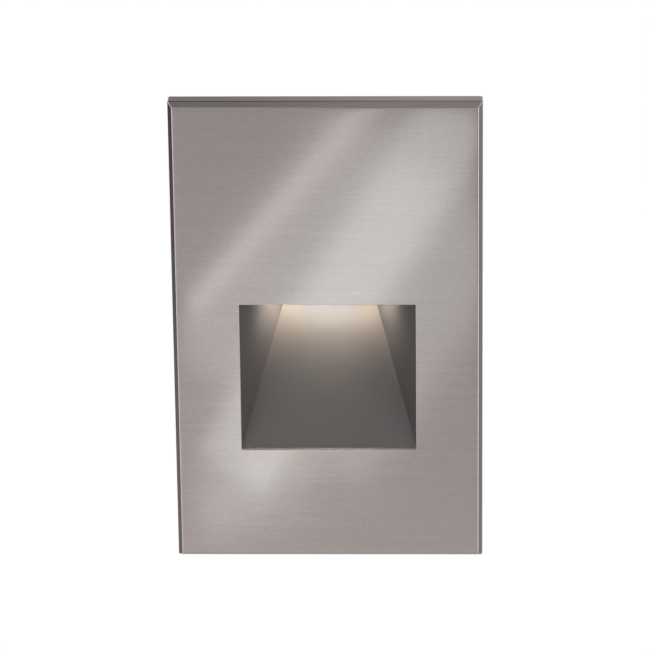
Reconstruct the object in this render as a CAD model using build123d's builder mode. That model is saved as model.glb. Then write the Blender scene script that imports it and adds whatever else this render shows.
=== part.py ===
"""A recessed step light for a single-gang device box, in millimetres.

The finished wall is the plane y = 0. The faceplate stands in front of it, towards -Y, and the light engine
and driver lie behind it, towards +Y. X runs right and Z up, and the faceplate's centre is at x = 0, z = 0.
"""

import os
from math import sqrt

from build123d import *

# Faceplate
plate_width = 79.4
plate_height = 127.0
plate_depth = 5.36
plate_corner = 0.45
plate_skin = 1.4
rim_wall = 2.0
bevel_inset = 1.06
bevel_depth = 1.25
bevel_corner = 0.15
rim_gap = 0.5
edge_break = 0.15
weep_width = 6.0
weep_depth = 1.4

# Opening in the faceplate, and the light well behind it
opening_height = 40.9
opening_side_margin = 0.3
opening_floor_margin = 1.97
well_depth = 27.5
well_side_taper = 13.0
well_back_height = 1.6
well_wall = 1.3
mouth_gap = 0.1

# Seals and gaps between the layers
opening_seal_thickness = 0.9
opening_seal_width = 2.2
seal_play = 0.2
housing_seal_thickness = 0.8
foam_width = 3.0
foam_play = 0.1
foam_end = 9.5

# Mounting bracket
bracket_thickness = 1.5
bracket_play = 1.1
strap_side = 7.8
window_bridge = 2.37
bracket_corner = 6.0
bend_radius = 1.0
window_play = 1.2
ear_reach = 3.8
hook_ear_width = 30.0
hook_ear_drop = 4.4
foot_ear_width = 12.0
hook_play = 0.15
hook_rib_height = 2.2
hook_rib_width = 24.0
hook_rib_depth = 2.7

# Device-box screws: number 6, on the spacing of a single-gang box
box_screw_spacing = 83.34
box_screw_radius = 1.75
box_screw_neck = 1.4
box_screw_length = 19.0
box_screw_head = 3.45
box_screw_head_height = 2.2
box_slot_length = 9.0
box_slot_width = 4.2
neck_reach = 2.0

# Set screws in the bottom rim: M3 with a 1.5 mm socket
set_screw_spacing = 40.0
set_screw_radius = 1.5
set_screw_length = 6.0
set_screw_tip_gap = 0.2
set_screw_recess = 0.2
set_screw_depth = 2.1
set_screw_socket = 1.5
socket_depth = 2.0
set_screw_point = 0.4
screw_boss_width = 7.0
screw_boss_height = 2.2

# Screws
thread_play = 0.05
hole_play = 0.2
blind_gap = 0.5
drive_slot = 0.8
drive_depth = 0.9
head_round = 0.5

# Light well flange and its screws into the bracket
flange_inset = 1.0
flange_clear = 0.42
flange_corner = 3.0
well_screw_radius = 1.5
well_screw_head = 2.75
well_screw_angle = 90
well_screw_inset = 4.2
well_screw_drop = 7.2
well_screw_end_gap = 0.1

# Housing: a sleeve, and the cover that closes its back
driver_room = 14.26
housing_wall = 1.6
cover_thickness = 2.6
cover_seat = 1.2
back_seal_thickness = 0.6
housing_corner = 3.0
housing_edge = 1.2
housing_screw_radius = 1.5
housing_screw_head = 2.75
housing_screw_head_height = 2.4
column_inset = 4.3
column_drop = 3.0
housing_screw_bite = 3.6
well_boss_radius = 2.8
well_boss_length = 5.2
column_radius = 3.2
column_gap = 0.5
rib_height = 0.8
rib_width = 1.4
rib_count = 7
rib_margin = 9.5
rib_front = 4.0
rib_end = 5.0

# Ground screw and lead grommet, side by side on the back cover
ground_screw_radius = 2.0
ground_screw_length = 3.0
ground_boss_radius = 5.0
ground_boss_height = 1.4
ground_washer_radius = 4.4
ground_washer_thickness = 0.8
ground_head_flats = 7.0
ground_head_height = 2.6
grommet_hole_radius = 5.0
grommet_lip_radius = 6.8
grommet_lip_thickness = 1.5
grommet_bore_radius = 3.2
grommet_play = 0.05
grommet_round = 0.5

# Lens and its retainer, on the shelf over the well
shelf_gap = 0.7
shelf_overhang = 1.5
port_ledge = 2.0
port_taper = 5.5
port_length = 17.0
lens_margin = 5.2
lens_length = 21.0
lens_front_gap = 2.0
lens_thickness = 2.0
lens_corner = 1.0
lens_seal_thickness = 0.8
lens_seal_width = 1.6
retainer_thickness = 1.0
retainer_skirt = 0.7
retainer_play = 0.15
retainer_lip = 2.5
retainer_lift = 0.3
tab_width = 5.0
tab_reach = 3.5
tab_y = 8.0
retainer_boss_radius = 1.6

# Small screws: M2
small_screw_radius = 1.0
small_screw_head = 1.9
small_screw_head_height = 1.2
small_drive_slot = 0.5
small_drive_depth = 0.6
retainer_screw_length = 5.0
sink_screw_length = 6.0
led_screw_length = 4.0
board_screw_length = 5.0

# LED board, heat sink and pads
sink_front = 1.0
sink_end_gap = 0.64
sink_leg_height = 8.2
sink_leg_width = 3.0
sink_leg_length = 11.0
sink_leg_gap = 0.1
sink_plate = 2.4
sink_web = 1.2
sink_web_count = 5
sink_web_margin = 1.6
sink_top_inset = 7.9
sink_top_plate = 1.6
gap_pad_thickness = 0.8
gap_pad_margin = 1.0
sink_screw_inset = 1.6
thermal_pad_thickness = 0.4
led_board_inset = 1.0
led_board_length = 17.0
led_board_thickness = 1.2
led_board_corner = 1.0
led_size = 2.8
led_height = 0.7
led_dome_radius = 1.1
led_dome_height = 0.15
led_pitch_share = 0.24
led_pitch_y = 6.0
led_columns = 3
led_rows = 2
led_offset_y = -1.5
led_screw_inset = 3.5
led_connector_width = 6.0
led_connector_length = 3.4
led_connector_height = 1.8
led_connector_inset = 0.3

# Driver board
board_width = 36.0
board_height = 33.0
board_thickness = 1.6
board_corner = 1.0
board_floor = 6.9
standoff = 2.6
post_radius = 2.2
board_screw_inset = 3.0
post_hole_depth = 3.8
insulator_thickness = 0.4
insulator_margin = 0.5

# Driver parts, each placed on the board from its centre as (right, up), with sizes as (width, height, depth)
transformer_at = (-6.8, -6.5)
transformer_size = (14.0, 12.0, 12.5)
transformer_limb = 3.0
transformer_core_depth = 5.0
bobbin_foot_size = (12.0, 9.0, 1.5)
coil_play = 0.1
coil_round = 1.0
input_capacitor_at = (7.5, -9.0)
input_capacitor_radius = 4.0
input_capacitor_length = 13.0
output_capacitor_at = (13.0, -1.0)
output_capacitor_radius = 2.5
output_capacitor_length = 8.0
can_round = 0.6
can_foot = 1.5
can_crimp = 0.3
can_crimp_width = 0.8
film_capacitor_at = (9.5, 8.0)
film_capacitor_size = (8.0, 4.0, 7.0)
film_capacitor_round = 0.5
inductor_at = (-12.0, 4.0)
inductor_radius = 3.6
inductor_winding_radius = 2.9
inductor_length = 6.5
inductor_flange = 1.0
fuse_at = (3.0, 3.5)
fuse_radius = 3.2
fuse_length = 6.0
varistor_at = (-4.0, 3.5)
varistor_radius = 3.2
varistor_thickness = 3.0
varistor_round = 0.8
varistor_lead = 1.5
varistor_lead_radius = 0.35
varistor_lead_spacing = 3.6
rectifier_at = (-8.0, -14.5)
rectifier_size = (6.0, 2.4, 2.2)
driver_chip_at = (-9.0, 12.0)
driver_chip_size = (4.9, 3.9, 1.6)
chip_leg_count = 4
chip_leg_pitch = 1.27
chip_leg_width = 0.45
chip_leg_reach = 0.9
chip_leg_thickness = 0.25
header_at = (0.0, 13.0)
header_size = (6.0, 4.5, 6.0)

# Leads from the driver to the LED board
wire_radius = 0.6
wire_spacing = 3.0
wire_bend = 6.0

# Planes and levels that follow from the sizes above
wall = 0.0
front_face = wall - rim_gap - plate_depth
rim_back = wall - rim_gap
bevel_start = front_face + bevel_depth
skin_back = front_face + plate_skin
bracket_front = wall - bracket_thickness
flange_back = bracket_front
flange_front = skin_back + opening_seal_thickness
mouth = skin_back + mouth_gap
cavity_width = plate_width - 2 * rim_wall
cavity_height = plate_height - 2 * rim_wall
foam_outer_width = cavity_width - 2 * foam_play
foam_inner_width = foam_outer_width - 2 * foam_width
foam_inner_top = cavity_height / 2 - foam_play - foam_width
bracket_width = foam_inner_width - 2 * bracket_play
hook_ear_top = foam_inner_top - hook_ear_drop
window_width = bracket_width - 2 * strap_side
window_height = box_screw_spacing - box_slot_width - 2 * window_bridge
flange_width = bracket_width - 2 * flange_inset
flange_height = box_screw_spacing - 2 * (box_screw_head + flange_clear)
well_screw_spacing_x = bracket_width - 2 * well_screw_inset
well_screw_spacing_z = window_height - 2 * well_screw_drop
housing_width = window_width - 2 * window_play
housing_height = window_height - 2 * window_play
housing_inner_width = housing_width - 2 * housing_wall
housing_inner_height = housing_height - 2 * housing_wall
opening_width = housing_inner_width - 2 * opening_side_margin
opening_bottom = opening_floor_margin - housing_inner_height / 2
opening_top = opening_bottom + opening_height
opening_drop = -(opening_top + opening_bottom) / 2
well_back = mouth + well_depth
side_slope = well_side_taper / well_depth
panel_slope = (opening_height - well_back_height) / well_depth
housing_front = flange_back + housing_seal_thickness
housing_inner_back = well_back + driver_room
housing_back = housing_inner_back + cover_thickness
sleeve_back = housing_inner_back - back_seal_thickness
housing_head_seat = housing_inner_back + cover_seat
housing_screw_spacing_x = housing_inner_width - 2 * column_inset
housing_screw_spacing_z = housing_inner_height - 2 * column_drop
column_front = flange_back + well_boss_length + column_gap
rib_back = housing_back - rib_end
rib_pitch = (housing_width - 2 * rib_margin) / (rib_count - 1)
set_screw_foot = -plate_height / 2 + set_screw_recess
foot_ear_bottom = set_screw_foot + set_screw_length + set_screw_tip_gap
set_screw_y = rim_back - set_screw_depth
shelf_width = housing_inner_width - 2 * shelf_gap
shelf_bottom = opening_top
shelf_top = shelf_bottom + well_wall
shelf_back = well_back + shelf_overhang
lens_width = shelf_width - 2 * lens_margin
lens_centre_y = flange_back + lens_front_gap + lens_length / 2
port_front_width = lens_width - 2 * port_ledge
port_back_width = port_front_width - 2 * port_taper
lens_bottom = shelf_top + lens_seal_thickness
lens_top = lens_bottom + lens_thickness
retainer_top = lens_top + retainer_thickness
sink_bottom = shelf_top + sink_leg_height
led_board_top = sink_bottom - thermal_pad_thickness
led_board_bottom = led_board_top - led_board_thickness
led_board_width = lens_width - 2 * led_board_inset
led_screw_spacing = led_board_width - 2 * led_screw_inset
led_pitch_x = led_pitch_share * led_screw_spacing
sink_top = housing_inner_height / 2 - gap_pad_thickness
sink_back = shelf_back - sink_end_gap
sink_length = sink_back - sink_front
sink_centre_y = (sink_front + sink_back) / 2
board_drop = housing_inner_height / 2 - board_floor - board_height / 2
rear_fittings_z = (housing_inner_height / 2 + board_height / 2 - board_drop) / 2
ground_x = (grommet_lip_radius + housing_width / 2) / 2
board_back = housing_inner_back - standoff
board_front = board_back - board_thickness
header_top = header_at[1] - board_drop + header_size[1] / 2
wire_level = led_board_bottom - led_connector_height / 2
wire_column = board_front - header_size[2] / 2
led_connector_back = lens_centre_y + led_board_length / 2 - led_connector_inset
retainer_width = lens_width + 2 * (retainer_play + retainer_skirt)
retainer_length = lens_length + 2 * (retainer_play + retainer_skirt)
tab_spacing = retainer_width + tab_reach
sink_width = shelf_width - 2 * sink_leg_gap
sink_top_width = sink_width - 2 * sink_top_inset
sink_web_pitch = (sink_top_width - 2 * sink_web_margin - sink_web) / (sink_web_count - 1)
sink_web_bottom = sink_bottom + sink_plate
sink_web_top = sink_top - sink_top_plate
sink_screw_spacing = sink_width - 2 * sink_screw_inset
sink_screw_y = sink_back - sink_leg_length / 2
board_screw_spacing_x = board_width - 2 * board_screw_inset
board_screw_spacing_z = board_height - 2 * board_screw_inset


def facing(depth):
    """A plane parallel to the wall: local x runs right, local y up, and extrusions come forward."""
    return Plane.XZ.offset(-depth)


def level(height):
    """A horizontal plane: local x runs right, local y back into the wall, and extrusions go up."""
    return Plane.XY.offset(height)


def well_section(depth, wall_around=0.0):
    """The light well's cross-section at one depth, with a wall of even thickness around it if asked."""
    reach = depth - mouth
    half_width = opening_width / 2 - side_slope * reach + wall_around * sqrt(1 + side_slope**2)
    bottom = opening_bottom + panel_slope * reach - wall_around * sqrt(1 + panel_slope**2)
    top = opening_top + wall_around
    with BuildSketch(facing(depth)) as section:
        with Locations((0, (top + bottom) / 2)):
            Rectangle(2 * half_width, top - bottom)
    return section.sketch


def on_board(place):
    """A point of the driver board, given from its centre, in the facing planes' coordinates."""
    return (place[0], place[1] - board_drop)


# Faceplate: a bevelled pan with a rectangular opening, a hook rib at the top and two screw bosses at the foot
with BuildPart() as faceplate:
    with BuildSketch(facing(rim_back)):
        RectangleRounded(plate_width, plate_height, plate_corner)
    extrude(amount=plate_depth - bevel_depth)
    with BuildSketch(facing(bevel_start)):
        RectangleRounded(plate_width, plate_height, plate_corner)
    with BuildSketch(facing(front_face)):
        RectangleRounded(plate_width - 2 * bevel_inset, plate_height - 2 * bevel_inset, bevel_corner)
    loft(ruled=True)
    with BuildSketch(facing(rim_back)):
        Rectangle(cavity_width, cavity_height)
    extrude(amount=plate_depth - plate_skin, mode=Mode.SUBTRACT)
    with BuildSketch(facing(skin_back)):
        with Locations((0, -opening_drop)):
            Rectangle(opening_width, opening_height)
    extrude(amount=plate_skin, mode=Mode.SUBTRACT)
    chamfer(faceplate.faces().sort_by(Axis.Y)[0].inner_wires()[0].edges(), edge_break)
    with BuildSketch(facing(skin_back)):
        with Locations((0, hook_ear_top + hook_play)):
            Rectangle(hook_rib_width, hook_rib_height, align=(Align.CENTER, Align.MIN))
    extrude(amount=-hook_rib_depth)
    with BuildSketch(facing(skin_back)):
        with GridLocations(set_screw_spacing, 0, 2, 1):
            with Locations((0, -cavity_height / 2)):
                Rectangle(screw_boss_width, screw_boss_height, align=(Align.CENTER, Align.MIN))
    extrude(amount=skin_back - rim_back)
    with BuildSketch(level(-plate_height / 2)):
        with Locations((0, set_screw_y)):
            with GridLocations(set_screw_spacing, 0, 2, 1):
                Circle(set_screw_radius + thread_play)
    extrude(amount=rim_wall + screw_boss_height, mode=Mode.SUBTRACT)
    with BuildSketch(facing(rim_back)):
        with Locations((0, -plate_height / 2)):
            Rectangle(weep_width, 2 * rim_wall)
    extrude(amount=weep_depth, mode=Mode.SUBTRACT)
faceplate.part.label = "faceplate"

# Foam gasket: an inverted U on the back of the faceplate, open at the foot so that water drains
with BuildPart() as wall_gasket:
    foam_height = cavity_height - foam_play - foam_end
    with BuildSketch(facing(wall)):
        with Locations((0, cavity_height / 2 - foam_play)):
            Rectangle(foam_outer_width, foam_height, align=(Align.CENTER, Align.MAX))
        with Locations((0, foam_inner_top)):
            Rectangle(foam_inner_width, foam_height, align=(Align.CENTER, Align.MAX), mode=Mode.SUBTRACT)
    extrude(amount=wall - skin_back)
wall_gasket.part.label = "wall_gasket"


def make_set_screw(x):
    """One socket set screw, standing in the bottom rim with its point just under the bracket's foot ear."""
    with BuildPart() as screw:
        with BuildSketch(level(set_screw_foot)):
            with Locations((x, set_screw_y)):
                Circle(set_screw_radius)
        extrude(amount=set_screw_length)
        chamfer(screw.edges().filter_by(GeomType.CIRCLE).group_by(Axis.Z)[-1], set_screw_point)
        with BuildSketch(level(set_screw_foot)):
            with Locations((x, set_screw_y)):
                RegularPolygon(set_screw_socket / 2, 6, major_radius=False)
        extrude(amount=socket_depth, mode=Mode.SUBTRACT)
    return screw


set_screw_left = make_set_screw(-set_screw_spacing / 2)
set_screw_left.part.label = "set_screw_left"
set_screw_right = make_set_screw(set_screw_spacing / 2)
set_screw_right.part.label = "set_screw_right"

# Mounting bracket: a strap round the housing's window, with ears bent forward for the hook and set screws
with BuildPart() as mounting_bracket:
    strap_height = hook_ear_top - foot_ear_bottom
    strap_centre = (hook_ear_top + foot_ear_bottom) / 2
    with BuildSketch(facing(wall)):
        with Locations((0, strap_centre)):
            strap = Rectangle(bracket_width, strap_height)
        chamfer(strap.vertices(), bracket_corner)
        Rectangle(window_width, window_height, mode=Mode.SUBTRACT)
        with GridLocations(0, box_screw_spacing, 1, 2):
            SlotOverall(box_slot_length, box_slot_width, mode=Mode.SUBTRACT)
        with GridLocations(well_screw_spacing_x, well_screw_spacing_z, 2, 2):
            Circle(well_screw_radius + thread_play, mode=Mode.SUBTRACT)
    extrude(amount=bracket_thickness)
    with BuildSketch(facing(wall)):
        with Locations((0, hook_ear_top)):
            Rectangle(hook_ear_width, bracket_thickness, align=(Align.CENTER, Align.MAX))
        with GridLocations(set_screw_spacing, 0, 2, 1):
            with Locations((0, foot_ear_bottom)):
                Rectangle(foot_ear_width, bracket_thickness, align=(Align.CENTER, Align.MIN))
    extrude(amount=ear_reach)
    bend_edges = mounting_bracket.edges().filter_by(Axis.X).group_by(Axis.Y)[-1]
    fillet([bend_edges.sort_by(Axis.Z)[-1], bend_edges.sort_by(Axis.Z)[0]], bend_radius)
mounting_bracket.part.label = "mounting_bracket"

# Box screws: pan heads on the strap, and a thin neck that keeps them captive in the slots
with BuildPart() as box_screws:
    with BuildSketch(facing(bracket_front)):
        with GridLocations(0, box_screw_spacing, 1, 2):
            Circle(box_screw_head)
    extrude(amount=box_screw_head_height)
    fillet(box_screws.edges().filter_by(GeomType.CIRCLE).group_by(Axis.Y)[0], head_round)
    with BuildSketch(facing(bracket_front)):
        with GridLocations(0, box_screw_spacing, 1, 2):
            Circle(box_screw_neck)
    extrude(amount=-neck_reach)
    with BuildSketch(facing(bracket_front + neck_reach)):
        with GridLocations(0, box_screw_spacing, 1, 2):
            Circle(box_screw_radius)
    extrude(amount=neck_reach - box_screw_length)
    with BuildSketch(facing(bracket_front - box_screw_head_height)):
        with GridLocations(0, box_screw_spacing, 1, 2):
            Rectangle(2 * box_screw_head, drive_slot)
    extrude(amount=-drive_depth, mode=Mode.SUBTRACT)
box_screws.part.label = "box_screws"

# Opening seal: a flat foam frame between the faceplate and the well's flange, round the well's collar
with BuildPart() as opening_seal:
    seal_hole_width = opening_width + 2 * (well_wall + seal_play)
    seal_hole_height = opening_height + 2 * (well_wall + seal_play)
    with BuildSketch(facing(flange_front)):
        with Locations((0, -opening_drop)):
            RectangleRounded(
                seal_hole_width + 2 * opening_seal_width,
                seal_hole_height + 2 * opening_seal_width,
                opening_seal_width,
            )
            Rectangle(seal_hole_width, seal_hole_height, mode=Mode.SUBTRACT)
    extrude(amount=opening_seal_thickness)
opening_seal.part.label = "opening_seal"

# Light well: flange, collar, sloping reflector trough, the shelf over it and the screw bosses, as one casting
with BuildPart() as light_well:
    with BuildSketch(facing(flange_back)):
        RectangleRounded(flange_width, flange_height, flange_corner)
    extrude(amount=flange_back - flange_front)
    with BuildSketch(facing(flange_front)):
        with Locations((0, -opening_drop)):
            Rectangle(opening_width + 2 * well_wall, opening_height + 2 * well_wall)
    extrude(amount=flange_front - mouth)
    loft([well_section(flange_back, well_wall), well_section(well_back + well_wall, well_wall)], ruled=True)
    with BuildSketch(level(shelf_bottom)):
        with Locations((0, flange_back)):
            Rectangle(shelf_width, shelf_back - flange_back, align=(Align.CENTER, Align.MIN))
    extrude(amount=well_wall)
    with BuildSketch(level(shelf_top)):
        with Locations((0, tab_y)):
            with GridLocations(tab_spacing, 0, 2, 1):
                Circle(retainer_boss_radius)
    extrude(amount=lens_top - shelf_top)
    with BuildSketch(facing(flange_back)):
        with GridLocations(housing_screw_spacing_x, housing_screw_spacing_z, 2, 2):
            Circle(well_boss_radius)
    extrude(amount=-well_boss_length)
    with BuildSketch(facing(flange_back + well_boss_length)):
        with GridLocations(housing_screw_spacing_x, housing_screw_spacing_z, 2, 2):
            Circle(housing_screw_radius + thread_play)
    extrude(amount=housing_screw_bite + blind_gap, mode=Mode.SUBTRACT)
    loft([well_section(mouth), well_section(well_back)], ruled=True, mode=Mode.SUBTRACT)
    with BuildSketch(level(shelf_bottom)):
        with BuildLine():
            port_front = lens_centre_y - port_length / 2
            port_back = lens_centre_y + port_length / 2
            Polyline(
                (-port_front_width / 2, port_front),
                (port_front_width / 2, port_front),
                (port_back_width / 2, port_back),
                (-port_back_width / 2, port_back),
                close=True,
            )
        make_face()
    extrude(amount=well_wall, mode=Mode.SUBTRACT)
    with BuildSketch(level(shelf_bottom)):
        with Locations((0, tab_y)):
            with GridLocations(tab_spacing, 0, 2, 1):
                Circle(small_screw_radius + thread_play)
        with Locations((0, sink_screw_y)):
            with GridLocations(sink_screw_spacing, 0, 2, 1):
                Circle(small_screw_radius + hole_play)
    extrude(amount=lens_top - shelf_bottom, mode=Mode.SUBTRACT)
    with Locations(facing(flange_front)):
        with GridLocations(well_screw_spacing_x, well_screw_spacing_z, 2, 2):
            CounterSinkHole(
                well_screw_radius + hole_play,
                well_screw_head + hole_play,
                counter_sink_angle=well_screw_angle,
            )
light_well.part.label = "light_well"

# Well screws: countersunk, from the flange's front into the bracket
with BuildPart() as well_screws:
    well_cone = well_screw_head - well_screw_radius
    with BuildSketch(facing(flange_front + well_cone)):
        with GridLocations(well_screw_spacing_x, well_screw_spacing_z, 2, 2):
            Circle(well_screw_radius)
    extrude(amount=flange_front + well_cone - (wall - well_screw_end_gap))
    with Locations(facing(flange_front + well_cone / 2)):
        with GridLocations(well_screw_spacing_x, well_screw_spacing_z, 2, 2):
            Cone(well_screw_radius, well_screw_head, well_cone)
    with BuildSketch(facing(flange_front)):
        with GridLocations(well_screw_spacing_x, well_screw_spacing_z, 2, 2):
            Rectangle(2 * well_screw_head, drive_slot)
    extrude(amount=-drive_depth, mode=Mode.SUBTRACT)
well_screws.part.label = "well_screws"

# Housing: a die-cast sleeve with a screw column in each corner, and cooling ribs along its top and bottom
with BuildPart() as housing:
    with BuildSketch(facing(housing_front)):
        RectangleRounded(housing_width, housing_height, housing_corner)
    extrude(amount=housing_front - sleeve_back)
    with BuildSketch(facing(housing_front)):
        RectangleRounded(housing_inner_width, housing_inner_height, housing_corner - housing_wall)
    extrude(amount=housing_front - sleeve_back, mode=Mode.SUBTRACT)
    with BuildSketch(facing(column_front)):
        RectangleRounded(housing_inner_width, housing_inner_height, housing_corner - housing_wall)
        with BuildSketch(facing(column_front), mode=Mode.PRIVATE) as columns:
            with GridLocations(housing_screw_spacing_x, housing_screw_spacing_z, 2, 2):
                Circle(column_radius)
        add(columns.sketch_local, mode=Mode.INTERSECT)
    extrude(amount=column_front - sleeve_back)
    with BuildSketch(level(housing_height / 2)):
        with Locations((0, (rib_front + rib_back) / 2)):
            with GridLocations(rib_pitch, 0, rib_count, 1):
                Rectangle(rib_width, rib_back - rib_front)
    extrude(amount=rib_height)
    with BuildSketch(level(-housing_height / 2)):
        with Locations((0, (rib_front + rib_back) / 2)):
            with GridLocations(rib_pitch, 0, rib_count, 1):
                Rectangle(rib_width, rib_back - rib_front)
    extrude(amount=-rib_height)
    with BuildSketch(facing(sleeve_back)):
        with GridLocations(housing_screw_spacing_x, housing_screw_spacing_z, 2, 2):
            Circle(housing_screw_radius + hole_play)
    extrude(amount=sleeve_back - column_front, mode=Mode.SUBTRACT)
housing.part.label = "housing"

# Back cover: a die-cast lid with posts for the driver board, a ground boss and the hole for the leads
with BuildPart() as back_cover:
    with BuildSketch(facing(housing_inner_back)):
        RectangleRounded(housing_width, housing_height, housing_corner)
    extrude(amount=-cover_thickness)
    fillet(back_cover.faces().sort_by(Axis.Y)[-1].edges(), housing_edge)
    with BuildSketch(facing(board_back)):
        with Locations((0, -board_drop)):
            with GridLocations(board_screw_spacing_x, board_screw_spacing_z, 2, 2):
                Circle(post_radius)
    extrude(amount=board_back - housing_inner_back)
    with BuildSketch(facing(housing_back)):
        with Locations((ground_x, rear_fittings_z)):
            Circle(ground_boss_radius)
    extrude(amount=-ground_boss_height)
    with BuildSketch(facing(housing_back + ground_boss_height)):
        with Locations((ground_x, rear_fittings_z)):
            Circle(ground_screw_radius + thread_play)
    extrude(amount=ground_screw_length + hole_play, mode=Mode.SUBTRACT)
    with BuildSketch(facing(housing_back)):
        with Locations((0, rear_fittings_z)):
            Circle(grommet_hole_radius)
    extrude(amount=cover_thickness, mode=Mode.SUBTRACT)
    with BuildSketch(facing(housing_back)):
        with GridLocations(housing_screw_spacing_x, housing_screw_spacing_z, 2, 2):
            Circle(housing_screw_head + hole_play)
    extrude(amount=housing_back - housing_head_seat, mode=Mode.SUBTRACT)
    with BuildSketch(facing(housing_head_seat)):
        with GridLocations(housing_screw_spacing_x, housing_screw_spacing_z, 2, 2):
            Circle(housing_screw_radius + hole_play)
    extrude(amount=cover_seat, mode=Mode.SUBTRACT)
    with BuildSketch(facing(board_back)):
        with Locations((0, -board_drop)):
            with GridLocations(board_screw_spacing_x, board_screw_spacing_z, 2, 2):
                Circle(small_screw_radius + thread_play)
    extrude(amount=-post_hole_depth, mode=Mode.SUBTRACT)
back_cover.part.label = "back_cover"


def make_housing_ring(depth, thickness):
    """A flat silicone ring on the housing's outline, standing forward of one depth."""
    with BuildPart() as ring:
        with BuildSketch(facing(depth)):
            RectangleRounded(housing_width, housing_height, housing_corner)
            RectangleRounded(
                housing_inner_width, housing_inner_height, housing_corner - housing_wall, mode=Mode.SUBTRACT
            )
        extrude(amount=thickness)
    return ring


# Seals: a flat ring in front of the sleeve, against the well's flange, and one behind it, under the cover
housing_seal = make_housing_ring(housing_front, housing_seal_thickness)
housing_seal.part.label = "housing_seal"
back_seal = make_housing_ring(housing_inner_back, back_seal_thickness)
back_seal.part.label = "back_seal"

# Housing screws: four long pan heads in the cover, through the columns into the well's bosses
with BuildPart() as housing_screws:
    with BuildSketch(facing(housing_head_seat)):
        with GridLocations(housing_screw_spacing_x, housing_screw_spacing_z, 2, 2):
            Circle(housing_screw_head)
    extrude(amount=-housing_screw_head_height)
    fillet(housing_screws.edges().filter_by(GeomType.CIRCLE).group_by(Axis.Y)[-1], head_round)
    with BuildSketch(facing(housing_head_seat)):
        with GridLocations(housing_screw_spacing_x, housing_screw_spacing_z, 2, 2):
            Circle(housing_screw_radius)
    extrude(amount=housing_head_seat - (flange_back + well_boss_length - housing_screw_bite))
    with BuildSketch(facing(housing_head_seat + housing_screw_head_height)):
        with GridLocations(housing_screw_spacing_x, housing_screw_spacing_z, 2, 2):
            Rectangle(2 * housing_screw_head, drive_slot)
    extrude(amount=drive_depth, mode=Mode.SUBTRACT)
housing_screws.part.label = "housing_screws"

# Ground screw: a hex washer head on the back cover
with BuildPart() as ground_screw:
    ground_seat = housing_back + ground_boss_height
    with BuildSketch(facing(ground_seat)):
        with Locations((ground_x, rear_fittings_z)):
            Circle(ground_screw_radius)
    extrude(amount=ground_screw_length)
    with BuildSketch(facing(ground_seat)):
        with Locations((ground_x, rear_fittings_z)):
            Circle(ground_washer_radius)
    extrude(amount=-ground_washer_thickness)
    with BuildSketch(facing(ground_seat + ground_washer_thickness)):
        with Locations((ground_x, rear_fittings_z)):
            RegularPolygon(ground_head_flats / 2, 6, major_radius=False)
    extrude(amount=-ground_head_height)
    with BuildSketch(facing(ground_seat + ground_washer_thickness + ground_head_height)):
        with Locations((ground_x, rear_fittings_z)):
            Rectangle(2 * ground_washer_radius, drive_slot)
    extrude(amount=drive_depth, mode=Mode.SUBTRACT)
ground_screw.part.label = "ground_screw"

# Lead grommet: a rubber bush with a lip on each side of the back cover
with BuildPart() as lead_grommet:
    with BuildSketch(facing(housing_inner_back - grommet_lip_thickness)):
        with Locations((0, rear_fittings_z)):
            Circle(grommet_lip_radius)
    extrude(amount=-grommet_lip_thickness)
    with BuildSketch(facing(housing_inner_back)):
        with Locations((0, rear_fittings_z)):
            Circle(grommet_hole_radius - grommet_play)
    extrude(amount=-cover_thickness)
    with BuildSketch(facing(housing_back)):
        with Locations((0, rear_fittings_z)):
            Circle(grommet_lip_radius)
    extrude(amount=-grommet_lip_thickness)
    fillet(lead_grommet.edges().filter_by(GeomType.CIRCLE).group_by(Axis.Y)[-1], grommet_round)
    with BuildSketch(facing(housing_back + grommet_lip_thickness)):
        with Locations((0, rear_fittings_z)):
            Circle(grommet_bore_radius)
    extrude(amount=cover_thickness + 2 * grommet_lip_thickness, mode=Mode.SUBTRACT)
lead_grommet.part.label = "lead_grommet"

# Lens: a frosted plate over the port in the shelf
with BuildPart() as lens:
    with BuildSketch(level(lens_bottom)):
        with Locations((0, lens_centre_y)):
            RectangleRounded(lens_width, lens_length, lens_corner)
    extrude(amount=lens_thickness)
lens.part.label = "lens"

with BuildPart() as lens_seal:
    with BuildSketch(level(shelf_top)):
        with Locations((0, lens_centre_y)):
            RectangleRounded(lens_width, lens_length, lens_corner)
            Rectangle(
                lens_width - 2 * lens_seal_width, lens_length - 2 * lens_seal_width, mode=Mode.SUBTRACT
            )
    extrude(amount=lens_seal_thickness)
lens_seal.part.label = "lens_seal"

# Lens retainer: a pressed frame over the lens with a skirt round it and a screw tab on each side
with BuildPart() as lens_retainer:
    with BuildSketch(level(lens_top)):
        with Locations((0, lens_centre_y)):
            RectangleRounded(retainer_width, retainer_length, lens_corner + retainer_skirt)
        with Locations((0, tab_y)):
            Rectangle(retainer_width + 2 * tab_reach, tab_width)
            with GridLocations(tab_spacing, 0, 2, 1):
                Circle(small_screw_radius + hole_play, mode=Mode.SUBTRACT)
        with Locations((0, lens_centre_y)):
            Rectangle(lens_width - 2 * retainer_lip, lens_length - 2 * retainer_lip, mode=Mode.SUBTRACT)
    extrude(amount=retainer_thickness)
    with BuildSketch(level(lens_top)):
        with Locations((0, lens_centre_y)):
            RectangleRounded(retainer_width, retainer_length, lens_corner + retainer_skirt)
            RectangleRounded(
                lens_width + 2 * retainer_play,
                lens_length + 2 * retainer_play,
                lens_corner,
                mode=Mode.SUBTRACT,
            )
    extrude(amount=shelf_top + retainer_lift - lens_top)
lens_retainer.part.label = "lens_retainer"


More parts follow.
